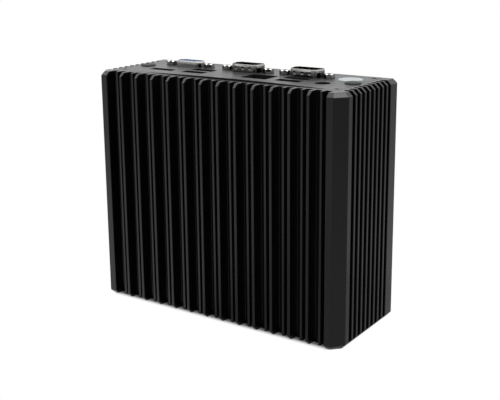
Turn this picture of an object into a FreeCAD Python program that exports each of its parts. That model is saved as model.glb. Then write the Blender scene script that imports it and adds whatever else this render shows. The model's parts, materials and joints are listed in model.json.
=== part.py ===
import FreeCAD, Part
import math
import os

# Fanless box computer in a finned extruded housing, standing on its lower end panel.
# X runs along the wide finned face, Y runs from that face to the back cover, Z is up.
# The origin is the centre of the footprint, on the surface that the housing stands on.

os.makedirs("parts", exist_ok=True)
Vector = FreeCAD.Vector

# Driving dimensions in millimetres

# Housing
height = 120.0
corner_facet_width = 4.5
corner_facet_depth = 5.8
corner_flat = 3.65
side_flat = 3.55
back_flat = 6.9
end_chamfer = 2.0

# Cooling fins
tall_fin_count = 12
tall_fin_height = 6.5
tall_fin_thickness = 1.5
short_fin_height = 3.4
short_fin_thickness = 1.4
front_wall = 2.8
side_fin_count = 8
side_fin_height = 5.0
side_fin_thickness = 1.65
side_wall = 2.0

# End panels and back cover
panel_thickness = 2.0
panel_gap = 0.1
panel_crown = 0.8
panel_crown_width = 108.0
panel_crown_depth = 8.0
panel_crown_shift = 7.0
cover_thickness = 2.0
cover_lap = 5.5
cover_screw_inset = 2.0
cover_gap = 0.15
cover_edge_chamfer = 0.5
boss_width = 5.6
boss_depth = 6.2
boss_chamfer = 1.0

# Mounting holes in the back cover
mount_spacing = 75.0
mount_hole_radius = 2.0

# Countersunk screws of the panels and the cover
flush_head_radius = 2.6
flush_shaft_radius = 1.5
panel_screw_length = 10.0
cover_screw_length = 5.5
heat_screw_length = 6.0
socket_flats = 2.0
socket_depth = 1.1
screw_gap = 0.04
screw_tip_gap = 0.5

# Pan-head screws of the boards
pan_head_radius = 2.7
pan_head_height = 2.0
pan_rim_height = 1.0
pan_crown_inset = 0.7
board_screw_length = 6.0

# Main board
standoff_length = 8.2
standoff_flats = 5.0
spigot_radius = 1.5
spigot_length = 1.6
board_thickness = 1.6
board_side_margin = 4.5
board_bottom_margin = 6.0
board_top_margin = 5.0
board_hole_edge = 4.1
board_hole_clearance = 0.1

# Processor and its heat path
processor_size = 27.0
thermal_pad_thickness = 0.6
heat_block_thickness = 5.4
heat_block_size = 52.0
heat_screw_edge = 5.0

# Memory, storage and wireless cards on the main board
socket_height = 4.0
socket_bar = 6.0
socket_side_wall = 1.0
card_seat = 3.0
card_thickness = 1.2
memory_width = 67.6
memory_length = 30.0
storage_width = 22.0
storage_length = 42.0
wireless_length = 30.0
card_gap = 4.0
coin_cell_radius = 10.0
coin_cell_thickness = 3.2
coin_holder_wall = 1.2
coin_holder_floor = 1.0
coin_holder_rise = 2.4

# Row of D-shaped connectors, from left to right
dsub_left_margin = 9.4
vga_com_gap = 5.8
com_com_gap = 3.8
com_button_gap = 1.9
button_right_margin = 3.5
dsub_ear = 2.9
dsub_flange_depth = 12.5
dsub_flange_thickness = 0.8
dsub_side_angle = 10.0
dsub_wall = 0.45
dsub_corner_radius = 2.4
dsub_lead_height = 1.1
dsub_lead_inset = 0.25
dsub_body_width = 19.2
dsub_body_depth = 9.6
dsub_body_length = 11.0
dsub_cutout_gap = 0.25
jackscrew_spacing = 25.0
jackscrew_flats = 4.8
jackscrew_head = 2.2
jackscrew_bevel = 0.4
jackscrew_radius = 1.4
jackscrew_length = 7.5
jackscrew_bore_radius = 1.15
jackscrew_bore_depth = 4.0
jackscrew_clearance = 0.2
com_wide = 17.7
com_deep = 9.2
com_rise = 3.9
com_floor = 1.0
com_pin_radius = 0.5
com_pin_pitch = 2.77
com_pin_row = 2.84
com_pin_below_rim = 1.6
com_pin_nose = 0.25
dimple_radius = 1.3
dimple_depth = 0.32
dimple_pitch = 4.2
vga_wide = 16.4
vga_deep = 7.9
vga_rise = 3.0
vga_insert_recess = 0.35
vga_hole_radius = 0.5
vga_hole_pitch = 2.29
vga_hole_row = 1.98
vga_hole_depth = 4.5
insert_gap = 0.05

# Row of board-edge connectors, from left to right
connector_flange_gap = 0.2
hdmi_left_margin = 12.4
hdmi_usb_gap = 5.2
usb_lan_gap = 21.6
lan_usb_gap = 3.6
usb_dc_gap = 5.9
hdmi_width = 15.4
hdmi_deep = 6.0
hdmi_length = 12.0
hdmi_wall = 0.45
hdmi_opening_width = 14.5
hdmi_opening_deep = 5.2
hdmi_tongue_width = 10.6
hdmi_tongue_deep = 1.2
usb_width = 14.3
usb_deep = 14.6
usb_length = 17.0
usb_wall = 0.5
usb_slot_width = 13.3
usb_slot_deep = 5.6
usb_slot_depth = 12.0
usb_tongue_width = 11.2
usb_tongue_deep = 1.9
usb_tongue_shift = 0.925
tongue_recess = 1.5
lan_width = 16.2
lan_deep = 13.4
lan_length = 18.0
lan_opening_width = 15.0
lan_opening_deep = 12.3
lan_cavity_width = 11.8
lan_cavity_deep = 8.2
lan_notch_width = 6.2
lan_notch_deep = 2.6
lan_cavity_depth = 13.0
lan_floor = 1.4
lan_contact_count = 8
lan_contact_pitch = 1.02
lan_contact_size = 0.4
lan_contact_foot = 0.8
lan_contact_reach = 2.6
dc_width = 9.4
dc_deep = 9.0
dc_length = 14.5
dc_barrel_radius = 3.15
dc_barrel_depth = 9.5
dc_pin_radius = 1.0
dc_pin_recess = 1.2
dc_pin_nose = 0.4
dc_hole_radius = 3.75
row_gap = 0.5

# Small board behind the D-shaped connectors
port_board_gap = 1.6
port_board_height = 28.0
port_board_side_margin = 7.2
port_pillar_edge = 4.5
port_header_width = 26.0
port_header_height = 5.0
port_header_pillar_gap = 3.6
port_header_edge = 2.0
port_cover_gap = 5.0

# Power button
button_radius = 6.1
button_proud = 0.35
button_lip = 0.5
button_lip_thickness = 0.8
button_lip_gap = 0.15
button_rim_chamfer = 0.3
button_slide_gap = 0.1
button_stem_radius = 2.2
button_travel = 1.0
plunger_radius = 1.7
plunger_length = 5.5
plunger_in_switch = 3.5
plunger_slide_gap = 0.08
switch_width = 8.0
switch_height = 7.0
switch_front_margin = 4.0
switch_floor_gap = 0.5

# Antenna-hole plugs and indicator lenses
plug_radius = 4.0
plug_rise = 0.8
plug_rim = 0.3
plug_stem_radius = 3.1
plug_stem_gap = 0.1
plug_bead = 0.35
plug_bead_length = 0.9
plug_bead_gap = 0.15
plug_edge = 3.9
plug_setback = 20.5
lens_radius = 0.75
lens_flange = 0.3
lens_flange_thickness = 0.8
lens_gap = 0.05
lens_shell_gap = 0.1
lens_side = 10.3

# Sizes and places worked out from the driving dimensions

dsub_flange_width = jackscrew_spacing + 2 * dsub_ear
button_lip_radius = button_radius + button_lip
cavity_width = (
    dsub_left_margin + dsub_flange_width + vga_com_gap + dsub_flange_width + com_com_gap
    + dsub_flange_width + com_button_gap + 2 * button_lip_radius + button_right_margin
)
cavity_half = cavity_width / 2
groove_floor_x = cavity_half + side_wall
half_width = groove_floor_x + side_fin_height
cover_half = cavity_half + cover_lap

depth = (
    tall_fin_height + front_wall + standoff_length + board_thickness + usb_deep + row_gap
    + dsub_body_depth + port_board_gap + board_thickness + port_cover_gap + cover_thickness
)
front_y = -depth / 2
back_y = depth / 2
groove_floor_y = front_y + tall_fin_height
cavity_front_y = groove_floor_y + front_wall
cover_front_y = back_y - cover_thickness
board_front_y = cavity_front_y + standoff_length
board_back_y = board_front_y + board_thickness
dsub_y = board_back_y + usb_deep + row_gap + dsub_body_depth / 2
port_board_front_y = dsub_y + dsub_body_depth / 2 + port_board_gap
port_board_back_y = port_board_front_y + board_thickness

panel_under_z = height - panel_thickness
flange_under_z = panel_under_z - dsub_flange_thickness
connector_top_z = flange_under_z - connector_flange_gap
board_low_z = panel_thickness + board_bottom_margin
board_high_z = panel_under_z - board_top_margin
board_half = cavity_half - board_side_margin

boss_x = cavity_half - boss_width / 2
boss_front_y = cavity_front_y + boss_depth / 2
boss_back_y = cover_front_y - boss_depth / 2
cover_screw_x = cavity_half + cover_screw_inset
flush_head_height = flush_head_radius - flush_shaft_radius

vga_x = -cavity_half + dsub_left_margin + dsub_flange_width / 2
com1_x = vga_x + dsub_flange_width + vga_com_gap
com2_x = com1_x + dsub_flange_width + com_com_gap
button_x = cavity_half - button_right_margin - button_lip_radius
button_y = dsub_y + panel_gap

hdmi_x = -cavity_half + hdmi_left_margin + hdmi_width / 2
usb_left_x = hdmi_x + hdmi_width / 2 + hdmi_usb_gap + usb_width / 2
lan_x = usb_left_x + usb_width / 2 + usb_lan_gap + lan_width / 2
usb_right_x = lan_x + lan_width / 2 + lan_usb_gap + usb_width / 2
dc_x = usb_right_x + usb_width / 2 + usb_dc_gap + dc_width / 2
hdmi_y = board_back_y + hdmi_deep / 2
usb_low_y = board_back_y + usb_wall + usb_slot_deep / 2
usb_high_y = board_back_y + usb_deep - usb_wall - usb_slot_deep / 2
lan_y = board_back_y + lan_deep / 2
dc_y = board_back_y + dc_deep / 2

plug_x = cavity_half - plug_edge
plug_y = cavity_front_y + plug_setback
lens_y = dsub_y + dsub_flange_depth / 2 + lens_shell_gap + lens_radius + lens_flange

standoff_x = board_half - board_hole_edge
standoff_low_z = board_low_z + board_hole_edge
standoff_high_z = board_high_z - board_hole_edge
standoff_places = [
    (-standoff_x, standoff_low_z),
    (standoff_x, standoff_low_z),
    (-standoff_x, standoff_high_z),
    (standoff_x, standoff_high_z),
]
board_middle_z = (board_low_z + board_high_z) / 2
heat_screw_offset = heat_block_size / 2 - heat_screw_edge
heat_screw_places = [
    (-heat_screw_offset, board_middle_z - heat_screw_offset),
    (heat_screw_offset, board_middle_z - heat_screw_offset),
    (-heat_screw_offset, board_middle_z + heat_screw_offset),
    (heat_screw_offset, board_middle_z + heat_screw_offset),
]

port_board_high_z = board_high_z
port_board_low_z = port_board_high_z - port_board_height
port_board_half = cavity_half - port_board_side_margin
port_pillar_x = port_board_half - port_pillar_edge
port_pillar_z = port_board_low_z + port_pillar_edge

# Amount by which a cutter runs past the face that it opens
overrun = 1.0

# Distance within which two levels or lengths count as one
tolerance = 0.001


# Basic solids

def block(x_low, x_high, y_low, y_high, z_low, z_high):
    """Box between two opposite corners."""
    corner = Vector(x_low, y_low, z_low)
    return Part.makeBox(x_high - x_low, y_high - y_low, z_high - z_low, corner)


def centred_block(x, y, width, deep, z_low, z_high):
    """Box centred on x, y in plan."""
    return block(x - width / 2, x + width / 2, y - deep / 2, y + deep / 2, z_low, z_high)


def rod(x, y, z_low, z_high, radius):
    """Upright cylinder."""
    return Part.makeCylinder(radius, z_high - z_low, Vector(x, y, z_low))


def rod_along_y(x, z, y_low, y_high, radius):
    """Cylinder along the depth of the housing."""
    return Part.makeCylinder(radius, y_high - y_low, Vector(x, y_low, z), Vector(0, 1, 0))


def prism(points, z_low, z_high):
    """Upright prism over a closed outline in plan."""
    corners = [Vector(x, y, z_low) for x, y in points]
    face = Part.Face(Part.makePolygon(corners + corners[:1]))
    return face.extrude(Vector(0, 0, z_high - z_low))


def turned(points, x, y):
    """Solid turned about the upright line through x, y from radius and height pairs."""
    corners = [Vector(x + radius, y, z) for radius, z in points]
    face = Part.Face(Part.makePolygon(corners + corners[:1]))
    return face.revolve(Vector(x, y, 0), Vector(0, 0, 1), 360)


def hexagon(x, y, flats, z_low, z_high):
    """Hexagonal prism with the given distance across its flats."""
    radius = flats / math.sqrt(3)
    corners = [math.radians(60 * step + 30) for step in range(6)]
    outline = [(x + radius * math.cos(turn), y + radius * math.sin(turn)) for turn in corners]
    return prism(outline, z_low, z_high)


def upright_edges(shape):
    """Straight edges of a shape that run along Z."""
    found = []
    for edge in shape.Edges:
        start = edge.Vertexes[0].Point
        end = edge.Vertexes[-1].Point
        if edge.Length - abs(start.z - end.z) < tolerance:
            found.append(edge)
    return found


def both_sides(shape):
    """A shape and its mirror image across the middle of the housing."""
    return [shape, shape.mirror(Vector(0, 0, 0), Vector(1, 0, 0))]


def export(node, pieces):
    """Write one solid, or a group of like solids, as the node's file."""
    shape = pieces if not isinstance(pieces, list) else Part.makeCompound(pieces)
    shape.exportStep("parts/" + node + ".step")


# Fasteners

def flush_screw_body(length, gap):
    """Countersunk screw pointing down with its head's top at the origin."""
    head = flush_head_radius + gap
    shaft = flush_shaft_radius + gap
    outline = [(0, 0), (head, 0), (shaft, -flush_head_height), (shaft, -length), (0, -length)]
    return turned(outline, 0, 0)


def flush_screw(length):
    """Countersunk screw with a hexagonal socket."""
    socket = hexagon(0, 0, socket_flats, -socket_depth, overrun)
    return flush_screw_body(length, 0).cut(socket)


def flush_screw_hole(length):
    """Cutter for a countersunk screw of the given length."""
    return flush_screw_body(length + screw_tip_gap, screw_gap)


def pointed_up(shape):
    """A screw or cutter turned over, so that it enters from below."""
    return shape.rotated(Vector(0, 0, 0), Vector(1, 0, 0), 180)


def pointed_forward(shape):
    """A screw or cutter turned so that it enters from the back towards the front."""
    return shape.rotated(Vector(0, 0, 0), Vector(1, 0, 0), -90)


def pan_screw_body(length, gap):
    """Pan-head screw pointing down, with the underside of its head at the origin."""
    shaft = flush_shaft_radius + gap
    crown = pan_head_radius - pan_crown_inset
    outline = [
        (0, pan_head_height), (crown, pan_head_height), (pan_head_radius, pan_rim_height),
        (pan_head_radius, 0), (shaft, 0), (shaft, -length), (0, -length),
    ]
    return turned(outline, 0, 0)


def hexagon_along_y(x, z, flats, y_low, y_high):
    """Hexagonal pillar along the depth of the housing."""
    return pointed_forward(hexagon(0, 0, flats, y_low, y_high)).translated(Vector(x, 0, z))


def pan_screw(length):
    """Pan-head screw with a hexagonal socket."""
    socket = hexagon(0, 0, socket_flats, pan_head_height - socket_depth, pan_head_height + overrun)
    return pan_screw_body(length, 0).cut(socket)


def panel_screw_places():
    """Plan positions of the four screws of an end panel."""
    return [
        (-boss_x, boss_front_y), (boss_x, boss_front_y), (-boss_x, boss_back_y), (boss_x, boss_back_y),
    ]


def cover_screw_places():
    """Positions of the back cover's screws across the width and the height."""
    low = end_chamfer + cover_screw_inset + flush_head_radius
    levels = [low, height / 2, height - low]
    return [(side * cover_screw_x, level) for level in levels for side in (-1, 1)]


# Housing and panels

def envelope():
    """Outer prism of the housing with bevelled rims at both ends."""
    outline = [
        (-half_width, back_y), (half_width, back_y),
        (half_width, front_y + corner_facet_depth), (half_width - corner_facet_width, front_y),
        (-half_width + corner_facet_width, front_y), (-half_width, front_y + corner_facet_depth),
    ]
    blank = prism(outline, 0, height)
    rims = []
    for edge in blank.Edges:
        start = edge.Vertexes[0].Point
        end = edge.Vertexes[-1].Point
        level = abs(start.z - end.z) < tolerance
        at_back = min(start.y, end.y) > back_y - overrun
        if level and not at_back:
            rims.append(edge)
    return blank.makeChamfer(end_chamfer, rims)


def front_bays():
    """Cutters between the tall front fins, each leaving one short fin standing."""
    zone_start = -half_width + corner_facet_width + corner_flat
    bay_count = tall_fin_count + 1
    bay = (-2 * zone_start - tall_fin_count * tall_fin_thickness) / bay_count
    short_tip_y = groove_floor_y - short_fin_height
    bays = []
    for index in range(bay_count):
        left = zone_start + index * (bay + tall_fin_thickness)
        right = left + bay
        fin_left = left + (bay - short_fin_thickness) / 2
        fin_right = fin_left + short_fin_thickness
        outline = [
            (left, front_y - overrun), (left, groove_floor_y),
            (fin_left, groove_floor_y), (fin_left, short_tip_y),
            (fin_right, short_tip_y), (fin_right, groove_floor_y),
            (right, groove_floor_y), (right, front_y - overrun),
        ]
        bays.append(prism(outline, -overrun, height + overrun))
    return bays


def side_grooves():
    """Cutters between the fins of both sides."""
    zone_start = front_y + corner_facet_depth + side_flat
    zone = back_y - back_flat - zone_start
    groove_count = side_fin_count + 1
    groove = (zone - side_fin_count * side_fin_thickness) / groove_count
    grooves = []
    for index in range(groove_count):
        low = zone_start + index * (groove + side_fin_thickness)
        cutter = block(
            groove_floor_x, half_width + overrun, low, low + groove, -overrun, height + overrun
        )
        grooves += both_sides(cutter)
    return grooves


def cavity():
    """Inner space of the extrusion, stepped round the four screw bosses."""
    inner = cavity_half - boss_width
    low_step = cavity_front_y + boss_depth
    high_step = cover_front_y - boss_depth
    half = [
        (inner, cavity_front_y), (inner, low_step - boss_chamfer), (inner + boss_chamfer, low_step),
        (cavity_half, low_step), (cavity_half, high_step), (inner + boss_chamfer, high_step),
        (inner, high_step + boss_chamfer), (inner, cover_front_y),
    ]
    mirrored = [(-x, y) for x, y in reversed(half)]
    return prism(half + mirrored, -overrun, height + overrun)


def panel_pocket(z_low, z_high):
    """Recess in an end of the extrusion that takes an end panel."""
    return block(-cavity_half, cavity_half, cavity_front_y, cover_front_y, z_low, z_high)


def heatsink_housing():
    """Finned extrusion with its milled ends and tapped holes."""
    cutters = front_bays() + side_grooves()
    cutters.append(cavity())
    cutters.append(panel_pocket(panel_under_z, height + overrun))
    cutters.append(panel_pocket(-overrun, panel_thickness))
    cutters.append(block(
        -cover_half, cover_half, cover_front_y, back_y + overrun, -overrun, height + overrun
    ))
    panel_hole = flush_screw_hole(panel_screw_length)
    for x, y in panel_screw_places():
        cutters.append(panel_hole.translated(Vector(x, y, height)))
        cutters.append(pointed_up(panel_hole).translated(Vector(x, y, 0)))
    cover_hole = pointed_forward(flush_screw_hole(cover_screw_length))
    for x, z in cover_screw_places():
        cutters.append(cover_hole.translated(Vector(x, back_y, z)))
    for x, z in standoff_places:
        cutters.append(rod_along_y(
            x, z, cavity_front_y - spigot_length - screw_gap, cavity_front_y + overrun,
            spigot_radius + screw_gap,
        ))
    tip_y = cavity_front_y + heat_block_thickness - heat_screw_length - screw_gap
    for x, z in heat_screw_places:
        cutters.append(rod_along_y(
            x, z, tip_y, cavity_front_y + overrun, flush_shaft_radius + screw_gap
        ))
    body = envelope()
    for cutter in cutters:
        body = body.cut(cutter)
    return body


def panel_blank(z_low):
    """Flat end panel."""
    half = cavity_half - panel_gap
    front = cavity_front_y + panel_gap
    back = cover_front_y - panel_gap
    return block(-half, half, front, back, z_low, z_low + panel_thickness)


def panel_front_crown():
    """Slight upward bow of the connector panel's front edge, fading out behind it."""
    front = cavity_front_y + panel_gap
    back = front + panel_crown_depth
    left = panel_crown_shift - panel_crown_width / 2
    right = panel_crown_shift + panel_crown_width / 2
    left_front = Vector(left, front, height)
    right_front = Vector(right, front, height)
    left_back = Vector(left, back, height)
    right_back = Vector(right, back, height)
    summit = Vector(panel_crown_shift, front, height + panel_crown)
    bow = Part.Arc(left_front, summit, right_front).toShape()
    front_line = Part.makeLine(left_front, right_front)
    back_line = Part.makeLine(left_back, right_back)
    upper = Part.makeRuledSurface(bow, back_line)
    front_face = Part.Face(Part.Wire([bow, front_line]))
    under = Part.Face(Part.makePolygon([left_front, right_front, right_back, left_back, left_front]))
    shell = Part.Shell([upper, front_face, under])
    shell.sewShape()
    return Part.Solid(shell)


def panel_cut(x, y, width, deep):
    """Cutter for a rectangular opening in the connector panel."""
    return centred_block(x, y, width, deep, panel_under_z - overrun, height + overrun)


def panel_bore(x, y, radius):
    """Cutter for a round opening in the connector panel."""
    return rod(x, y, panel_under_z - overrun, height + overrun, radius)


def dsub_places():
    """Plan position, width and depth of each D-shaped shell."""
    return [
        (vga_x, vga_wide, vga_deep), (com1_x, com_wide, com_deep), (com2_x, com_wide, com_deep),
    ]


def io_panel():
    """Connector panel of the upper end."""
    cutters = []
    for x, wide, deep in dsub_places():
        cutters.append(dsub_prism(
            x, wide + 2 * dsub_cutout_gap, deep + 2 * dsub_cutout_gap,
            dsub_corner_radius, panel_under_z - overrun, height + overrun,
        ))
        for side in (-1, 1):
            cutters.append(panel_bore(
                x + side * jackscrew_spacing / 2, dsub_y, jackscrew_radius + jackscrew_clearance
            ))
    cutters.append(panel_cut(hdmi_x, hdmi_y, hdmi_opening_width, hdmi_opening_deep))
    for x in (usb_left_x, usb_right_x):
        for y in (usb_low_y, usb_high_y):
            cutters.append(panel_cut(x, y, usb_slot_width, usb_slot_deep))
    cutters.append(panel_cut(lan_x, lan_y, lan_opening_width, lan_opening_deep))
    cutters.append(panel_bore(dc_x, dc_y, dc_hole_radius))
    cutters.append(panel_bore(button_x, button_y, button_radius + button_slide_gap))
    for side in (-1, 1):
        cutters.append(panel_bore(side * plug_x, plug_y, plug_stem_radius + plug_stem_gap))
    for x in lens_places():
        cutters.append(panel_bore(x, lens_y, lens_radius + lens_gap))
    hole = flush_screw_hole(panel_screw_length)
    for x, y in panel_screw_places():
        cutters.append(hole.translated(Vector(x, y, height)))
    panel = panel_blank(panel_under_z).fuse(panel_front_crown()).removeSplitter()
    for cutter in cutters:
        panel = panel.cut(cutter)
    return panel


def lower_panel():
    """Plain panel of the lower end."""
    panel = panel_blank(0)
    hole = pointed_up(flush_screw_hole(panel_screw_length))
    for x, y in panel_screw_places():
        panel = panel.cut(hole.translated(Vector(x, y, 0)))
    return panel


def base_cover():
    """Back plate with countersunk rim screws and four tapped mounting holes."""
    half = cover_half - cover_gap
    plate = block(-half, half, cover_front_y, back_y, 0, height)
    rim = []
    for edge in plate.Edges:
        start = edge.Vertexes[0].Point
        end = edge.Vertexes[-1].Point
        if min(start.y, end.y) > back_y - cover_thickness / 2:
            rim.append(edge)
    plate = plate.makeChamfer(cover_edge_chamfer, rim).common(envelope())
    hole = pointed_forward(flush_screw_hole(cover_screw_length))
    for x, z in cover_screw_places():
        plate = plate.cut(hole.translated(Vector(x, back_y, z)))
    for side in (-1, 1):
        for level in (-1, 1):
            plate = plate.cut(rod_along_y(
                side * mount_spacing / 2, height / 2 + level * mount_spacing / 2,
                cover_front_y - overrun, back_y + overrun, mount_hole_radius,
            ))
    return plate


def io_panel_screws():
    """Four countersunk screws of the connector panel."""
    screw = flush_screw(panel_screw_length)
    return [screw.translated(Vector(x, y, height)) for x, y in panel_screw_places()]


def lower_panel_screws():
    """Four countersunk screws of the lower panel."""
    screw = pointed_up(flush_screw(panel_screw_length))
    return [screw.translated(Vector(x, y, 0)) for x, y in panel_screw_places()]


def base_cover_screws():
    """Countersunk screws along both long edges of the back cover."""
    screw = pointed_forward(flush_screw(cover_screw_length))
    return [screw.translated(Vector(x, back_y, z)) for x, z in cover_screw_places()]


# Connectors with a D-shaped shell

def dsub_prism(x, wide, deep, corner_radius, z_low, z_high):
    """Upright D-shaped prism with its wide side at the back."""
    taper = deep * math.tan(math.radians(dsub_side_angle))
    back = dsub_y + deep / 2
    front = dsub_y - deep / 2
    outline = [
        (x - wide / 2, back), (x + wide / 2, back),
        (x + wide / 2 - taper, front), (x - wide / 2 + taper, front),
    ]
    shape = prism(outline, z_low, z_high)
    return shape.makeFillet(corner_radius, upright_edges(shape))


def level_outline(solid, z):
    """Outline of the flat face of a solid at one level."""
    for face in solid.Faces:
        if face.BoundBox.ZMin > z - tolerance and face.BoundBox.ZMax < z + tolerance:
            return face.OuterWire


def dsub_skirt(x, wide, deep, rim_z):
    """Solid D-shaped skirt whose rim leans in to guide the plug."""
    lead_z = rim_z - dsub_lead_height
    straight = dsub_prism(x, wide, deep, dsub_corner_radius, flange_under_z, lead_z)
    rim = dsub_prism(
        x, wide - 2 * dsub_lead_inset, deep - 2 * dsub_lead_inset,
        dsub_corner_radius - dsub_lead_inset, rim_z, rim_z + overrun,
    )
    outlines = [level_outline(straight, lead_z), level_outline(rim, rim_z)]
    return straight.fuse(Part.makeLoft(outlines, True, True))


def dsub_shell(x, wide, deep, rise):
    """Pressed shell: a flange behind the panel and a D-shaped skirt through it."""
    flange = centred_block(
        x, dsub_y, dsub_flange_width, dsub_flange_depth, flange_under_z, panel_under_z
    )
    for side in (-1, 1):
        flange = flange.cut(rod(
            x + side * jackscrew_spacing / 2, dsub_y, flange_under_z - overrun,
            panel_under_z + overrun, jackscrew_radius + jackscrew_clearance,
        ))
    rim_z = height + rise
    skirt = dsub_skirt(x, wide, deep, rim_z)
    hollow = dsub_prism(
        x, wide - 2 * dsub_wall, deep - 2 * dsub_wall, dsub_corner_radius - dsub_wall,
        flange_under_z - overrun, rim_z + overrun,
    )
    return flange.fuse(skirt).cut(hollow).removeSplitter()


def com_shell(x):
    """Shell of a serial connector with grounding dimples along both long sides."""
    shell = dsub_shell(x, com_wide, com_deep, com_rise)
    level = height + com_rise / 2
    reach = com_deep / 2 + dimple_radius - dimple_depth
    for step in (-1, 0, 1):
        for side in (-1, 1):
            centre = Vector(x + step * dimple_pitch, dsub_y + side * reach, level)
            shell = shell.cut(Part.makeSphere(dimple_radius, centre))
    return shell


def dsub_insert(x, wide, deep, top_z):
    """Moulded insert inside a D-shaped skirt, with the block behind the flange."""
    inset = 2 * (dsub_wall + insert_gap)
    core = dsub_prism(
        x, wide - inset, deep - inset, dsub_corner_radius - dsub_wall - insert_gap,
        flange_under_z, top_z,
    )
    rear = centred_block(
        x, dsub_y, dsub_body_width, dsub_body_depth, flange_under_z - dsub_body_length, flange_under_z
    )
    return core.fuse(rear).removeSplitter()


def com_pin_places(x):
    """Plan positions of the nine pins, five of them along the wide side."""
    back_row = [(x + step * com_pin_pitch, dsub_y + com_pin_row / 2) for step in range(-2, 3)]
    front_row = [
        (x + (step + 0.5) * com_pin_pitch, dsub_y - com_pin_row / 2) for step in range(-2, 2)
    ]
    return back_row + front_row


def com_pins(x):
    """Round contact pins standing on the serial connector's insert."""
    floor_z = flange_under_z + dsub_flange_thickness + com_floor
    tip_z = height + com_rise - com_pin_below_rim
    pins = []
    for pin_x, pin_y in com_pin_places(x):
        outline = [
            (0, floor_z), (com_pin_radius, floor_z), (com_pin_radius, tip_z - com_pin_nose),
            (com_pin_radius - com_pin_nose, tip_z), (0, tip_z),
        ]
        pins.append(turned(outline, pin_x, pin_y))
    return pins


def com_insulator(x):
    """Black insert of a serial connector."""
    return dsub_insert(x, com_wide, com_deep, flange_under_z + dsub_flange_thickness + com_floor)


def vga_insulator():
    """Blue insert of the video connector with three rows of contact holes."""
    top_z = height + vga_rise - vga_insert_recess
    insert = dsub_insert(vga_x, vga_wide, vga_deep, top_z)
    holes = []
    for row in (-1, 0, 1):
        for step in range(-2, 3):
            hole_x = vga_x + (step + row / 4) * vga_hole_pitch
            hole_y = dsub_y + row * vga_hole_row
            holes.append(rod(hole_x, hole_y, top_z - vga_hole_depth, top_z + overrun, vga_hole_radius))
    for hole in holes:
        insert = insert.cut(hole)
    return insert


def jackscrews(x):
    """Pair of hexagonal jackscrews that clamp a connector to the panel."""
    pair = []
    head_top = height + jackscrew_head
    corner_radius = jackscrew_flats / math.sqrt(3)
    for side in (-1, 1):
        screw_x = x + side * jackscrew_spacing / 2
        head = hexagon(screw_x, dsub_y, jackscrew_flats, height, head_top)
        bevel = turned([
            (0, height), (corner_radius, height), (corner_radius, head_top - jackscrew_bevel),
            (jackscrew_flats / 2, head_top), (0, head_top),
        ], screw_x, dsub_y)
        shaft = rod(screw_x, dsub_y, height - jackscrew_length, height, jackscrew_radius)
        bore = rod(
            screw_x, dsub_y, head_top - jackscrew_bore_depth, head_top + overrun, jackscrew_bore_radius
        )
        pair.append(head.common(bevel).fuse(shaft).cut(bore).removeSplitter())
    return pair


# Connectors on the main board's edge

def hdmi_shell():
    """Folded shell of the digital video socket."""
    low = connector_top_z - hdmi_length
    shell = centred_block(hdmi_x, hdmi_y, hdmi_width, hdmi_deep, low, connector_top_z)
    hollow = centred_block(
        hdmi_x, hdmi_y, hdmi_width - 2 * hdmi_wall, hdmi_deep - 2 * hdmi_wall,
        low + hdmi_wall, connector_top_z + overrun,
    )
    return shell.cut(hollow)


def hdmi_tongue():
    """Contact tongue inside the digital video socket."""
    floor_z = connector_top_z - hdmi_length + hdmi_wall
    return centred_block(
        hdmi_x, hdmi_y, hdmi_tongue_width, hdmi_tongue_deep, floor_z, connector_top_z - tongue_recess
    )


def usb_shell(x):
    """Shell of a double-stacked serial bus socket."""
    low = connector_top_z - usb_length
    y = board_back_y + usb_deep / 2
    shell = centred_block(x, y, usb_width, usb_deep, low, connector_top_z)
    for slot_y in (usb_low_y, usb_high_y):
        shell = shell.cut(centred_block(
            x, slot_y, usb_slot_width, usb_slot_deep,
            connector_top_z - usb_slot_depth, connector_top_z + overrun,
        ))
    return shell


def usb_tongues(x):
    """Contact tongues of a double-stacked socket."""
    floor_z = connector_top_z - usb_slot_depth
    top_z = connector_top_z - tongue_recess
    tongues = []
    for slot_y in (usb_low_y, usb_high_y):
        tongue_y = slot_y + usb_tongue_shift
        tongues.append(centred_block(x, tongue_y, usb_tongue_width, usb_tongue_deep, floor_z, top_z))
    return tongues


def lan_cavity_low_y():
    """Front side of the plug space in the network socket."""
    return board_back_y + lan_floor + lan_notch_deep


def lan_jack():
    """Moulded network socket with its plug space and latch notch."""
    low = connector_top_z - lan_length
    body = centred_block(lan_x, lan_y, lan_width, lan_deep, low, connector_top_z)
    cavity_low = lan_cavity_low_y()
    plug_space = block(
        lan_x - lan_cavity_width / 2, lan_x + lan_cavity_width / 2,
        cavity_low, cavity_low + lan_cavity_deep,
        connector_top_z - lan_cavity_depth, connector_top_z + overrun,
    )
    notch = block(
        lan_x - lan_notch_width / 2, lan_x + lan_notch_width / 2,
        cavity_low - lan_notch_deep, cavity_low,
        connector_top_z - lan_cavity_depth, connector_top_z + overrun,
    )
    return body.cut(plug_space).cut(notch)


def lan_contacts():
    """Row of slanted contact wires along the back of the plug space."""
    back = lan_cavity_low_y() + lan_cavity_deep
    floor_z = connector_top_z - lan_cavity_depth
    top_z = connector_top_z - tongue_recess
    wires = []
    for index in range(lan_contact_count):
        x = lan_x + (index - (lan_contact_count - 1) / 2) * lan_contact_pitch
        outline = [
            Vector(x, back, top_z), Vector(x, back, top_z - lan_contact_foot),
            Vector(x, back - lan_contact_reach, floor_z),
            Vector(x, back - lan_contact_reach - lan_contact_size, floor_z),
        ]
        face = Part.Face(Part.makePolygon(outline + outline[:1]))
        wire = face.extrude(Vector(lan_contact_size, 0, 0))
        wires.append(wire.translated(Vector(-lan_contact_size / 2, 0, 0)))
    return wires


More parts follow.
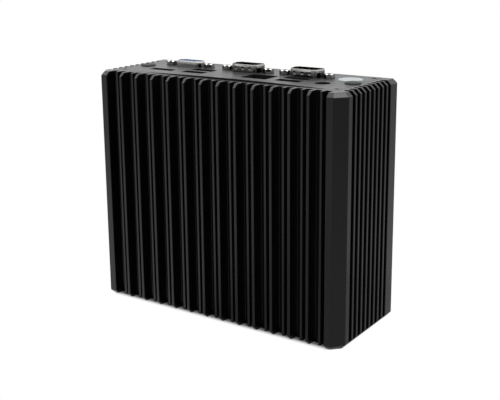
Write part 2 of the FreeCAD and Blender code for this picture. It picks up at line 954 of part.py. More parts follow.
def dc_jack():
    """Moulded power inlet with a round barrel."""
    low = connector_top_z - dc_length
    body = centred_block(dc_x, dc_y, dc_width, dc_deep, low, connector_top_z)
    return body.cut(rod(
        dc_x, dc_y, connector_top_z - dc_barrel_depth, connector_top_z + overrun, dc_barrel_radius
    ))


def dc_jack_pin():
    """Centre pin of the power inlet."""
    floor_z = connector_top_z - dc_barrel_depth
    tip_z = connector_top_z - dc_pin_recess
    outline = [
        (0, floor_z), (dc_pin_radius, floor_z), (dc_pin_radius, tip_z - dc_pin_nose),
        (dc_pin_radius - dc_pin_nose, tip_z), (0, tip_z),
    ]
    return turned(outline, dc_x, dc_y)


# Boards and what they carry

def mainboard():
    """Main circuit board with its screw holes."""
    board = block(-board_half, board_half, board_front_y, board_back_y, board_low_z, board_high_z)
    for x, z in standoff_places:
        board = board.cut(rod_along_y(
            x, z, board_front_y - overrun, board_back_y + overrun,
            flush_shaft_radius + board_hole_clearance,
        ))
    return board


def board_standoffs():
    """Hexagonal pillars pressed into the housing's front wall."""
    pillars = []
    bore_depth = board_screw_length - board_thickness + screw_tip_gap
    for x, z in standoff_places:
        pillar = hexagon_along_y(x, z, standoff_flats, cavity_front_y, board_front_y)
        spigot = rod_along_y(x, z, cavity_front_y - spigot_length, cavity_front_y, spigot_radius)
        bore = rod_along_y(
            x, z, board_front_y - bore_depth, board_front_y + overrun, flush_shaft_radius + screw_gap
        )
        pillars.append(pillar.fuse(spigot).cut(bore))
    return pillars


def board_screws():
    """Pan-head screws that hold the main board."""
    screw = pointed_forward(pan_screw(board_screw_length))
    return [screw.translated(Vector(x, board_back_y, z)) for x, z in standoff_places]


def heat_path_y():
    """Depth positions of the heat block's, pad's and processor's far faces."""
    block_back = cavity_front_y + heat_block_thickness
    return block_back, block_back + thermal_pad_thickness


def square_on_board(size, y_low, y_high):
    """Square piece centred on the processor."""
    return block(
        -size / 2, size / 2, y_low, y_high, board_middle_z - size / 2, board_middle_z + size / 2
    )


def heat_block():
    """Aluminium block that carries heat from the processor to the finned wall."""
    piece = square_on_board(heat_block_size, cavity_front_y, heat_path_y()[0])
    hole = pointed_forward(flush_screw_hole(heat_screw_length))
    for x, z in heat_screw_places:
        piece = piece.cut(hole.translated(Vector(x, heat_path_y()[0], z)))
    return piece


def heat_block_screws():
    """Countersunk screws of the heat block."""
    screw = pointed_forward(flush_screw(heat_screw_length))
    return [screw.translated(Vector(x, heat_path_y()[0], z)) for x, z in heat_screw_places]


def thermal_pad():
    """Soft pad between the processor and the heat block."""
    return square_on_board(processor_size, heat_path_y()[0], heat_path_y()[1])


def processor():
    """Processor package on the front of the main board."""
    return square_on_board(processor_size, heat_path_y()[1], board_front_y)


def card_socket(x_low, width, z_low):
    """Edge socket on the back of the main board that holds a card flat."""
    socket = block(
        x_low, x_low + width, board_back_y, board_back_y + socket_height, z_low, z_low + socket_bar
    )
    slot_y = board_back_y + (socket_height - card_thickness) / 2
    slot = block(
        x_low + socket_side_wall, x_low + width - socket_side_wall, slot_y, slot_y + card_thickness,
        z_low + socket_bar - card_seat, z_low + socket_bar + overrun,
    )
    return socket.cut(slot)


def plug_in_card(x_low, width, z_low, length):
    """Card whose lower edge sits in its socket."""
    slot_y = board_back_y + (socket_height - card_thickness) / 2
    inset = socket_side_wall + insert_gap
    low = z_low + socket_bar - card_seat
    return block(
        x_low + inset, x_low + width - inset, slot_y + insert_gap, slot_y + card_thickness - insert_gap,
        low, low + length,
    )


cards_low_z = board_low_z + board_hole_edge + card_gap
memory_left_x = -board_half + board_hole_edge + card_gap
storage_left_x = memory_left_x + memory_width + 2 * card_gap
coin_cell_x = memory_left_x + coin_cell_radius + coin_holder_wall
coin_cell_z = (
    cards_low_z + socket_bar - card_seat + memory_length + card_gap + coin_cell_radius
    + coin_holder_wall
)
wireless_left_x = coin_cell_x + coin_cell_radius + coin_holder_wall + card_gap
wireless_low_z = coin_cell_z - coin_cell_radius


def coin_cell_holder():
    """Round cup on the main board that holds the clock cell."""
    top = board_back_y + coin_holder_floor + coin_holder_rise
    cup = rod_along_y(coin_cell_x, coin_cell_z, board_back_y, top, coin_cell_radius + coin_holder_wall)
    return cup.cut(rod_along_y(
        coin_cell_x, coin_cell_z, board_back_y + coin_holder_floor, top + overrun,
        coin_cell_radius + insert_gap,
    ))


def coin_cell():
    """Clock cell."""
    floor_y = board_back_y + coin_holder_floor
    return rod_along_y(coin_cell_x, coin_cell_z, floor_y, floor_y + coin_cell_thickness, coin_cell_radius)


def port_pillar_places():
    """Positions of the two pillars under the port board."""
    return [(-port_pillar_x, port_pillar_z), (port_pillar_x, port_pillar_z)]


def port_board():
    """Small board behind the D-shaped connectors and the power switch."""
    board = block(
        -port_board_half, port_board_half, port_board_front_y, port_board_back_y,
        port_board_low_z, port_board_high_z,
    )
    for x, z in port_pillar_places():
        board = board.cut(rod_along_y(
            x, z, port_board_front_y - overrun, port_board_back_y + overrun,
            flush_shaft_radius + board_hole_clearance,
        ))
    return board


def port_board_pillars():
    """Hexagonal pillars between the main board and the port board."""
    bore_depth = board_screw_length - board_thickness + screw_tip_gap
    pillars = []
    for x, z in port_pillar_places():
        pillar = hexagon_along_y(x, z, standoff_flats, board_back_y, port_board_front_y)
        bore = rod_along_y(
            x, z, port_board_front_y - bore_depth, port_board_front_y + overrun,
            flush_shaft_radius + screw_gap,
        )
        pillars.append(pillar.cut(bore))
    return pillars


def port_board_screws():
    """Pan-head screws of the port board."""
    screw = pointed_forward(pan_screw(board_screw_length))
    return [screw.translated(Vector(x, port_board_back_y, z)) for x, z in port_pillar_places()]


def port_link_header():
    """Tall header that joins the two boards."""
    right = port_pillar_x - standoff_flats / 2 - port_header_pillar_gap
    low = port_board_low_z + port_header_edge
    return block(
        right - port_header_width, right, board_back_y, port_board_front_y,
        low, low + port_header_height,
    )


# Power button

button_top_z = height + button_proud
button_lip_top_z = panel_under_z - button_lip_gap
button_lip_low_z = button_lip_top_z - button_lip_thickness
stem_low_z = button_lip_low_z - plunger_in_switch
switch_top_z = stem_low_z - plunger_length + plunger_in_switch
plunger_low_z = stem_low_z - plunger_length


def power_button_cap():
    """Round cap with a retaining lip under the panel and a central stem."""
    outline = [
        (0, stem_low_z), (button_stem_radius, stem_low_z), (button_stem_radius, button_lip_low_z),
        (button_lip_radius, button_lip_low_z), (button_lip_radius, button_lip_top_z),
        (button_radius, button_lip_top_z), (button_radius, button_top_z - button_rim_chamfer),
        (button_radius - button_rim_chamfer, button_top_z), (0, button_top_z),
    ]
    return turned(outline, button_x, button_y)


def power_switch_plunger():
    """Plunger of the push switch, which the button's stem rests on."""
    return rod(button_x, button_y, plunger_low_z, stem_low_z, plunger_radius)


def power_switch():
    """Body of the push switch, carried by the port board."""
    bore_floor_z = plunger_low_z - button_travel - switch_floor_gap
    body = block(
        button_x - switch_width / 2, button_x + switch_width / 2,
        button_y - switch_front_margin, port_board_front_y,
        switch_top_z - switch_height, switch_top_z,
    )
    return body.cut(rod(
        button_x, button_y, bore_floor_z, switch_top_z + overrun, plunger_radius + plunger_slide_gap
    ))


# Small trim of the panel

def antenna_hole_plugs():
    """Low plugs in the two antenna holes."""
    bead_top_z = panel_under_z - plug_bead_gap
    plugs = []
    for side in (-1, 1):
        outline = [
            (0, bead_top_z - plug_bead_length), (plug_stem_radius, bead_top_z - plug_bead_length),
            (plug_stem_radius + plug_bead, bead_top_z - plug_bead_length / 2),
            (plug_stem_radius, bead_top_z), (plug_stem_radius, height),
            (plug_radius, height), (plug_radius, height + plug_rim),
            (plug_radius - plug_rise, height + plug_rise), (0, height + plug_rise),
        ]
        plugs.append(turned(outline, side * plug_x, plug_y))
    return plugs


def lens_places():
    """Positions across the panel of the two indicator lenses."""
    return [x + lens_side for x in (com1_x, com2_x)]


def indicator_lenses():
    """Small light pipes that fill the indicator holes."""
    lenses = []
    for x in lens_places():
        flange_low = panel_under_z - lens_flange_thickness
        outline = [
            (0, flange_low), (lens_radius + lens_flange, flange_low),
            (lens_radius + lens_flange, panel_under_z), (lens_radius, panel_under_z),
            (lens_radius, height), (0, height),
        ]
        lenses.append(turned(outline, x, lens_y))
    return lenses


nodes = {
    "heatsink_housing": heatsink_housing(),
    "io_panel": io_panel(),
    "lower_panel": lower_panel(),
    "base_cover": base_cover(),
    "io_panel_screws": io_panel_screws(),
    "lower_panel_screws": lower_panel_screws(),
    "base_cover_screws": base_cover_screws(),
    "vga_shell": dsub_shell(vga_x, vga_wide, vga_deep, vga_rise),
    "vga_insulator": vga_insulator(),
    "vga_jackscrews": jackscrews(vga_x),
    "com1_shell": com_shell(com1_x),
    "com1_insulator": com_insulator(com1_x),
    "com1_pins": com_pins(com1_x),
    "com2_shell": com_shell(com2_x),
    "com2_insulator": com_insulator(com2_x),
    "com2_pins": com_pins(com2_x),
    "com_jackscrews": jackscrews(com1_x) + jackscrews(com2_x),
    "hdmi_shell": hdmi_shell(),
    "hdmi_tongue": hdmi_tongue(),
    "usb_left_shell": usb_shell(usb_left_x),
    "usb_left_tongues": usb_tongues(usb_left_x),
    "usb_right_shell": usb_shell(usb_right_x),
    "usb_right_tongues": usb_tongues(usb_right_x),
    "lan_jack": lan_jack(),
    "lan_contacts": lan_contacts(),
    "dc_jack": dc_jack(),
    "dc_jack_pin": dc_jack_pin(),
    "mainboard": mainboard(),
    "board_standoffs": board_standoffs(),
    "board_screws": board_screws(),
    "heat_block": heat_block(),
    "heat_block_screws": heat_block_screws(),
    "thermal_pad": thermal_pad(),
    "processor": processor(),
    "memory_socket": card_socket(memory_left_x, memory_width, cards_low_z),
    "memory_module": plug_in_card(memory_left_x, memory_width, cards_low_z, memory_length),
    "storage_socket": card_socket(storage_left_x, storage_width, cards_low_z),
    "storage_card": plug_in_card(storage_left_x, storage_width, cards_low_z, storage_length),
    "wireless_socket": card_socket(wireless_left_x, storage_width, wireless_low_z),
    "wireless_card": plug_in_card(wireless_left_x, storage_width, wireless_low_z, wireless_length),
    "coin_cell_holder": coin_cell_holder(),
    "coin_cell": coin_cell(),
    "port_board": port_board(),
    "port_board_pillars": port_board_pillars(),
    "port_board_screws": port_board_screws(),
    "port_link_header": port_link_header(),
    "power_button_cap": power_button_cap(),
    "power_switch_plunger": power_switch_plunger(),
    "power_switch": power_switch(),
    "antenna_hole_plugs": antenna_hole_plugs(),
    "indicator_lenses": indicator_lenses(),
}

for node, pieces in nodes.items():
    export(node, pieces)
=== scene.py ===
"""Studio scene of a fanless box computer in a black finned housing.

The frame gives every rigid piece at its real size and place. This script breaks the sharp edges of
the pieces that show, adds the contact strips of the sockets and the threads of the jackscrews, gives
each slot of the record its finish, and sets up a white studio with the camera of the reference view.
"""

import json
import logging
import math
from collections.abc import Callable, Iterator, Sequence
from contextlib import contextmanager
from dataclasses import dataclass
from enum import Enum
from typing import Self

import bpy
from bpy.types import Material, Node, NodeSocket, NodeTree, Object, World
from mathutils import Matrix, Vector


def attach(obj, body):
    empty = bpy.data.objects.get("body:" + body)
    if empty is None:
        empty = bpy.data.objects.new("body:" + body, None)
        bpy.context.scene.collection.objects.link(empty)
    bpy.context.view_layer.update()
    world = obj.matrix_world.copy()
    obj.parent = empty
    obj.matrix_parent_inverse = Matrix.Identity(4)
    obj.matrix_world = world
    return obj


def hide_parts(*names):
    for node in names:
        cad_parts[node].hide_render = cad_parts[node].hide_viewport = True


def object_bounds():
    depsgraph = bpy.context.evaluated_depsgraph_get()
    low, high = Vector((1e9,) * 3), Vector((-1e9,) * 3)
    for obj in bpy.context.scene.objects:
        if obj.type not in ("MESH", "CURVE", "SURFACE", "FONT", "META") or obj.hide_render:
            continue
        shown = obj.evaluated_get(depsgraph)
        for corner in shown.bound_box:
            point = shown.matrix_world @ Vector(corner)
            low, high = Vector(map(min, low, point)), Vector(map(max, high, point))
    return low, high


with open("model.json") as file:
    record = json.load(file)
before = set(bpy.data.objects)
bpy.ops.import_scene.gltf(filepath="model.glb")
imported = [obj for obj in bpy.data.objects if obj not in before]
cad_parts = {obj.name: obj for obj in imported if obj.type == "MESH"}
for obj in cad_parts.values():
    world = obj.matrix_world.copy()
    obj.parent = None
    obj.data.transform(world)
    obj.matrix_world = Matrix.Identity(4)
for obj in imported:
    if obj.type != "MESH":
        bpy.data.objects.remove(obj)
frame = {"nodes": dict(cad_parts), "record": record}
CAD_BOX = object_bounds()

LOG = logging.getLogger("box_computer")
Colour = tuple[float, float, float]

# Lengths are in metres
MM = 0.001
ORIGIN = (0.0, 0.0, 0.0)
QUARTER_TURN = math.radians(90.0)

# Limits for merging points, joining flat faces, breaking edges and shading smoothly
MERGE_DISTANCE = 0.0005 * MM
FLAT_ANGLE = math.radians(0.5)
SHARP_ANGLE = math.radians(24.0)
SMOOTH_ANGLE = math.radians(32.0)
FLAT_WEIGHT = 100

# A Mix node has sockets of one name for several types, so its colour sockets go by number
MIX_FIRST = 6
MIX_SECOND = 7
MIX_RESULT = 2
WHITE = (1.0, 1.0, 1.0, 1.0)


class Body(Enum):
    """Bodies of the frame that a piece can ride on."""

    HOUSING = "housing"
    BUTTON = "power_button"


class Side(Enum):
    """Faces of a socket's tongue that carry contact strips."""

    FRONT = "front"
    BACK = "back"


class Effect(Enum):
    """Surface effects of the finishes, each a node group."""

    GRAIN = "blast_grain"
    MARKS = "soft_marks"
    LINES = "drawn_lines"
    DUST = "settled_dust"
    # Painted shade in recesses, found by ambient occlusion
    RECESS = "painted_recess_shade"


class Shader:
    """A node tree with short calls that place nodes and join them."""

    def __init__(self, tree: NodeTree) -> None:
        """Keep the tree that nodes are placed in.

        Args:
            tree: Node tree of a material, a world or a group.
        """
        self.tree = tree

    @classmethod
    def emptied(cls, owner: Material | World) -> Self:
        """Give a material or a world an empty node tree.

        Args:
            owner: Material or world to start.

        Returns:
            The empty tree.
        """
        owner.use_nodes = True
        owner.node_tree.nodes.clear()
        return cls(owner.node_tree)

    def place(
        self, kind: str, inputs: dict[str | int, object] | None = None, **settings: object
    ) -> Node:
        """Add a node, set its options, and fill its inputs.

        Args:
            kind: Node type.
            inputs: Input names or numbers with a value to set or an output to join.
            settings: Options of the node itself.

        Returns:
            The new node.
        """
        node = self.tree.nodes.new(kind)
        for name, value in settings.items():
            setattr(node, name, value)
        for key, value in (inputs or {}).items():
            self.fill(node.inputs[key], value)
        return node

    def fill(self, socket: NodeSocket, value: object) -> None:
        """Join an output to an input, or set the input's own value.

        Args:
            socket: Input socket.
            value: Output socket or constant.
        """
        if isinstance(value, NodeSocket):
            self.tree.links.new(value, socket)
        else:
            socket.default_value = value

    def here(self) -> NodeSocket:
        """Give the place on the surface, in the piece's own coordinates."""
        return self.place("ShaderNodeTexCoord").outputs["Object"]

    def reckon(
        self, operation: str, first: object, second: object = 0.0, clamp: bool = False
    ) -> NodeSocket:
        """Place one step of arithmetic.

        Args:
            operation: Name of the arithmetic operation.
            first: First value or output.
            second: Second value or output.
            clamp: Whether the result is kept between 0 and 1.

        Returns:
            Output with the result.
        """
        node = self.place("ShaderNodeMath", {0: first, 1: second}, operation=operation, use_clamp=clamp)
        return node.outputs[0]

    def ramp(
        self, value: NodeSocket, start: float | NodeSocket = 0.0, end: float = 1.0,
        low: float = 0.0, high: float = 1.0, smooth: bool = False,
    ) -> NodeSocket:
        """Map one range of a value onto another, level beyond both ends.

        Args:
            value: Output to map.
            start: Value that gives the low result.
            end: Value that gives the high result.
            low: Result at the start.
            high: Result at the end.
            smooth: Whether the result eases in and out.

        Returns:
            Output with the mapped value.
        """
        limits = {"From Min": start, "From Max": end, "To Min": low, "To Max": high}
        course = "SMOOTHSTEP" if smooth else "LINEAR"
        node = self.place("ShaderNodeMapRange", {"Value": value, **limits}, interpolation_type=course)
        return node.outputs["Result"]

    def blend(self, share: object, first: object, second: object, mode: str = "MIX") -> NodeSocket:
        """Mix two colours.

        Args:
            share: Share of the second colour.
            first: First colour or output.
            second: Second colour or output.
            mode: Name of the mixing mode.

        Returns:
            Output with the mixed colour.
        """
        node = self.place(
            "ShaderNodeMix", {"Factor": share, MIX_FIRST: first, MIX_SECOND: second},
            data_type="RGBA", blend_type=mode,
        )
        return node.outputs[MIX_RESULT]


@dataclass(frozen=True)
class Noise:
    """Soft random pattern that several effects are drawn from."""

    detail: float
    roughness: float
    distortion: float = 0.0

    def place(self, shader: Shader, spot: NodeSocket, scale: NodeSocket) -> NodeSocket:
        """Place the pattern in a tree.

        Args:
            shader: Tree of an effect.
            spot: Output with the place on the surface.
            scale: Output with the count of patches per metre.

        Returns:
            Output with the pattern.
        """
        node = shader.place("ShaderNodeTexNoise", {
            "Vector": spot, "Scale": scale, "Detail": self.detail,
            "Roughness": self.roughness, "Distortion": self.distortion,
        })
        return node.outputs[0]


class Effects:
    """Node groups of the surface effects, each built once."""

    FINE_GRAIN = Noise(detail=3.0, roughness=0.6)
    COARSE_GRAIN = Noise(detail=2.0, roughness=0.5)
    COARSE_SHARE = 0.22
    PATCHES = Noise(detail=4.0, roughness=0.55, distortion=0.6)
    PATCH_START = 0.35
    PATCH_FULL = 0.7
    DIE_LINES = Noise(detail=2.0, roughness=0.5)
    DRAWN_ALONG = (1.0, 1.0, 0.012)
    SPECKS = Noise(detail=4.0, roughness=0.7)
    SPECK_START = 0.5
    SPECK_FULL = 0.8
    FACING_START = 0.6
    FACING_FULL = 0.98
    # Ambient occlusion that places the painted recess shade
    SHELTER_SAMPLES = 8
    OPEN_FULL = 0.75
    made: dict[Effect, NodeTree] = {}

    @classmethod
    def group(cls, effect: Effect) -> NodeTree:
        """Give an effect's group, building it the first time.

        Args:
            effect: Effect wanted.

        Returns:
            Node group of the effect.
        """
        if effect not in cls.made:
            builders: dict[Effect, Callable[[], NodeTree]] = {
                Effect.GRAIN: cls._grain,
                Effect.MARKS: cls._marks,
                Effect.LINES: cls._lines,
                Effect.DUST: cls._dust,
                Effect.RECESS: cls._painted_recess_shade,
            }
            cls.made[effect] = builders[effect]()
        return cls.made[effect]

    @staticmethod
    def _new(effect: Effect, inputs: dict[str, float], outputs: list[str]) -> tuple[Shader, Node, Node]:
        """Start a group with number inputs and outputs.

        Args:
            effect: Effect that the group makes.
            inputs: Names and first values of the inputs.
            outputs: Names of the outputs.

        Returns:
            The group's tree, its input node and its output node.
        """
        tree = bpy.data.node_groups.new(effect.value, "ShaderNodeTree")
        for name, value in inputs.items():
            socket = tree.interface.new_socket(name=name, in_out="INPUT", socket_type="NodeSocketFloat")
            socket.default_value = value
        for name in outputs:
            tree.interface.new_socket(name=name, in_out="OUTPUT", socket_type="NodeSocketFloat")
        shader = Shader(tree)
        return shader, shader.place("NodeGroupInput"), shader.place("NodeGroupOutput")

    @classmethod
    def _grain(cls) -> NodeTree:
        """Fine even grain of a blasted and anodised, or a moulded, surface.

        Returns:
            The node group.
        """
        shader, given, result = cls._new(Effect.GRAIN, {"Grains per metre": 4000.0}, ["Height", "Tone"])
        spot = shader.here()
        fine_scale = given.outputs["Grains per metre"]
        coarse_scale = shader.reckon("MULTIPLY", fine_scale, cls.COARSE_SHARE)
        shader.fill(result.inputs["Height"], cls.FINE_GRAIN.place(shader, spot, fine_scale))
        shader.fill(result.inputs["Tone"], cls.COARSE_GRAIN.place(shader, spot, coarse_scale))
        return shader.tree

    @classmethod
    def _marks(cls) -> NodeTree:
        """Broad faint patches where a surface was wiped and handled.

        Returns:
            The node group.
        """
        shader, given, result = cls._new(Effect.MARKS, {"Patches per metre": 45.0}, ["Mask"])
        patches = cls.PATCHES.place(shader, shader.here(), given.outputs["Patches per metre"])
        shader.fill(result.inputs["Mask"], shader.ramp(patches, cls.PATCH_START, cls.PATCH_FULL))
        return shader.tree

    @classmethod
    def _lines(cls) -> NodeTree:
        """Faint upright lines that a die leaves along an extruded profile.

        Returns:
            The node group.
        """
        shader, given, result = cls._new(Effect.LINES, {"Lines per metre": 2600.0}, ["Height"])
        drawn = shader.place("ShaderNodeMapping", {"Vector": shader.here(), "Scale": cls.DRAWN_ALONG})
        lines = cls.DIE_LINES.place(shader, drawn.outputs[0], given.outputs["Lines per metre"])
        shader.fill(result.inputs["Height"], lines)
        return shader.tree

    @classmethod
    def _dust(cls) -> NodeTree:
        """Fine pale dust that settles on faces that look up.

        Returns:
            The node group.
        """
        shader, given, result = cls._new(
            Effect.DUST, {"Specks per metre": 1500.0, "Amount": 0.3}, ["Mask"]
        )
        normal = shader.place("ShaderNodeNewGeometry").outputs["True Normal"]
        upright = shader.place("ShaderNodeSeparateXYZ", {0: normal}).outputs["Z"]
        facing = shader.ramp(upright, cls.FACING_START, cls.FACING_FULL)
        specks = cls.SPECKS.place(shader, shader.here(), given.outputs["Specks per metre"])
        settled = shader.reckon("MULTIPLY", facing, shader.ramp(specks, cls.SPECK_START, cls.SPECK_FULL))
        shader.fill(result.inputs["Mask"], shader.reckon("MULTIPLY", settled, given.outputs["Amount"]))
        return shader.tree

    @classmethod
    def _painted_recess_shade(cls) -> NodeTree:
        """Painted shade: darker colour deep inside sockets and slots, found by ambient occlusion.

        Returns:
            The node group.
        """
        shader, given, result = cls._new(Effect.RECESS, {"Reach": 6.0 * MM, "Closed": 0.35}, ["Open"])
        shelter = shader.place(
            "ShaderNodeAmbientOcclusion", {"Distance": given.outputs["Reach"]},
            samples=cls.SHELTER_SAMPLES,
        )
        opened = shader.ramp(shelter.outputs["AO"], given.outputs["Closed"], cls.OPEN_FULL)
        shader.fill(result.inputs["Open"], opened)
        return shader.tree


@dataclass(frozen=True)
class Finish:
    """Finish of one slot of the record, made as a node material.

    A finish has a base tone that drifts a little with the grain, a roughness that drifts with
    handling marks, and a bump from the grain and, on drawn metal, from die lines. Dust lies on the
    faces that look up. Recess shade is painted shade: the share of tone taken off the colour deep
    inside sockets and slots, where ambient occlusion finds the surface hemmed in.
    """

    slot: str
    colour: Colour
    light_colour: Colour
    roughness: float
    roughness_drift: float
    metallic: float = 0.0
    ior: float = 1.45
    grains_per_metre: float = 4000.0
    grain_depth: float = 0.004 * MM
    lines_depth: float = 0.0
    dust: float = 0.0
    dust_colour: Colour = (0.30, 0.29, 0.28)
    dust_roughness: float = 0.3
    recess_shade: float = 0.0
    recess_shade_reach: float = 6.0 * MM
    recess_shade_closed: float = 0.35

    def material(self) -> Material:
        """Build the material of this finish.

        Returns:
            The material.
        """
        made = bpy.data.materials.new(self.slot)
        shader = Shader.emptied(made)
        grain = self._effect(shader, Effect.GRAIN, {"Grains per metre": self.grains_per_metre})
        marks = self._effect(shader, Effect.MARKS, {})
        colour = shader.blend(grain.outputs["Tone"], (*self.colour, 1.0), (*self.light_colour, 1.0))
        smoothest = self.roughness - self.roughness_drift
        roughest = self.roughness + self.roughness_drift
        rough = shader.ramp(marks.outputs["Mask"], low=smoothest, high=roughest)
        if self.dust > 0:
            dust = self._effect(shader, Effect.DUST, {"Amount": self.dust}).outputs["Mask"]
            colour = shader.blend(dust, colour, (*self.dust_colour, 1.0))
            extra = shader.reckon("MULTIPLY", dust, self.dust_roughness)
            rough = shader.reckon("ADD", rough, extra, clamp=True)
        # Painted shade: the colour darkens deep in recesses, by ambient occlusion
        if self.recess_shade > 0:
            depth = {"Reach": self.recess_shade_reach, "Closed": self.recess_shade_closed}
            opened = self._effect(shader, Effect.RECESS, depth).outputs["Open"]
            shade = shader.ramp(opened, low=1.0 - self.recess_shade)
            colour = shader.blend(1.0, colour, shade, mode="MULTIPLY")
        surface = shader.place("ShaderNodeBsdfPrincipled", {
            "Base Color": colour, "Roughness": rough, "Metallic": self.metallic, "IOR": self.ior,
            "Normal": self._bump(shader, grain),
        })
        shader.place("ShaderNodeOutputMaterial", {"Surface": surface.outputs[0]})
        return made

    def _bump(self, shader: Shader, grain: Node) -> NodeSocket:
        """Turn the grain and any die lines into a bumped normal.

        Args:
            shader: Tree of the material.
            grain: Placed grain effect.

        Returns:
            Output with the normal.
        """
        bump = shader.place(
            "ShaderNodeBump", {"Height": grain.outputs["Height"], "Distance": self.grain_depth}
        )
        if self.lines_depth > 0:
            lines = self._effect(shader, Effect.LINES, {})
            bump = shader.place("ShaderNodeBump", {
                "Height": lines.outputs["Height"], "Distance": self.lines_depth,
                "Normal": bump.outputs[0],
            })
        return bump.outputs[0]

    @staticmethod
    def _effect(shader: Shader, effect: Effect, values: dict[str, float]) -> Node:
        """Place an effect with this finish's own values.

        Args:
            shader: Tree of the material.
            effect: Effect to place.
            values: Input names and values.

        Returns:
            The placed group node.
        """
        return shader.place("ShaderNodeGroup", values, node_tree=Effects.group(effect))


# recess_shade paints shade into the colour deep inside slots, sockets and shells
FINISHES = [
    Finish(
        "black_anodised", (0.002, 0.002, 0.0021), (0.004, 0.004, 0.0042),
        roughness=0.27, roughness_drift=0.04, ior=1.48,
        grains_per_metre=5200.0, grain_depth=0.003 * MM, lines_depth=0.004 * MM, dust=0.03,
    ),
    Finish(
        "panel_anodised", (0.024, 0.024, 0.0245), (0.034, 0.034, 0.0345),
        roughness=0.32, roughness_drift=0.04, ior=1.38,
        grains_per_metre=5200.0, grain_depth=0.003 * MM, dust=0.03,
        recess_shade=0.97, recess_shade_reach=4.0 * MM,
    ),
    Finish(
        "cover_black", (0.0025, 0.0025, 0.0026), (0.0045, 0.0045, 0.0047),
        roughness=0.30, roughness_drift=0.04, ior=1.48,
        grains_per_metre=5200.0, grain_depth=0.003 * MM, dust=0.03,
    ),
    Finish(
        "black_screw", (0.012, 0.012, 0.012), (0.02, 0.02, 0.02),
        roughness=0.36, roughness_drift=0.08, metallic=0.3,
    ),
    Finish(
        "tin_shell", (0.48, 0.475, 0.465), (0.56, 0.555, 0.54),
        roughness=0.14, roughness_drift=0.04, metallic=1.0, grain_depth=0.001 * MM,
        recess_shade=0.96, recess_shade_reach=12.0 * MM, recess_shade_closed=0.46,
    ),
    Finish(
        "nickel_shell", (0.70, 0.70, 0.69), (0.80, 0.80, 0.79),
        roughness=0.13, roughness_drift=0.04, metallic=1.0, grain_depth=0.001 * MM,
        recess_shade=0.9, recess_shade_reach=10.0 * MM,
    ),
    Finish(
        "blue_insert", (0.03, 0.10, 0.26), (0.04, 0.13, 0.32),
        roughness=0.35, roughness_drift=0.06,
    ),
    Finish(
        "black_plastic", (0.006, 0.006, 0.006), (0.01, 0.01, 0.01),
        roughness=0.45, roughness_drift=0.08,
    ),
    Finish(
        "gold_contact", (0.72, 0.50, 0.18), (0.82, 0.60, 0.24),
        roughness=0.22, roughness_drift=0.06, metallic=1.0, grain_depth=0.001 * MM,
        recess_shade=0.95, recess_shade_reach=14.0 * MM, recess_shade_closed=0.5,
    ),
    Finish(
        "green_board", (0.012, 0.07, 0.03), (0.02, 0.10, 0.045),
        roughness=0.35, roughness_drift=0.08,
    ),
    Finish(
        "bare_aluminium", (0.62, 0.62, 0.62), (0.72, 0.72, 0.72),
        roughness=0.32, roughness_drift=0.08, metallic=1.0,
    ),
    Finish(
        "brass_pillar", (0.62, 0.46, 0.20), (0.70, 0.54, 0.26),
        roughness=0.28, roughness_drift=0.08, metallic=1.0,
    ),
    Finish(
        "plain_steel", (0.5, 0.5, 0.5), (0.6, 0.6, 0.6),
        roughness=0.28, roughness_drift=0.08, metallic=1.0,
    ),
    Finish(
        "grey_pad", (0.25, 0.27, 0.30), (0.32, 0.34, 0.37),
        roughness=0.7, roughness_drift=0.1,
    ),
    Finish(
        "dark_package", (0.02, 0.025, 0.02), (0.035, 0.04, 0.035),
        roughness=0.45, roughness_drift=0.08,
    ),
    Finish(
        "button_white", (0.50, 0.56, 0.58), (0.54, 0.60, 0.62),
        roughness=0.3, roughness_drift=0.06,
    ),
    Finish(
        "black_rubber", (0.02, 0.02, 0.02), (0.032, 0.032, 0.032),
        roughness=0.55, roughness_drift=0.08,
        grains_per_metre=2500.0, grain_depth=0.01 * MM, dust=0.1,
    ),
    Finish(
        "dark_lens", (0.008, 0.008, 0.009), (0.012, 0.012, 0.013),
        roughness=0.12, roughness_drift=0.03,
    ),
]


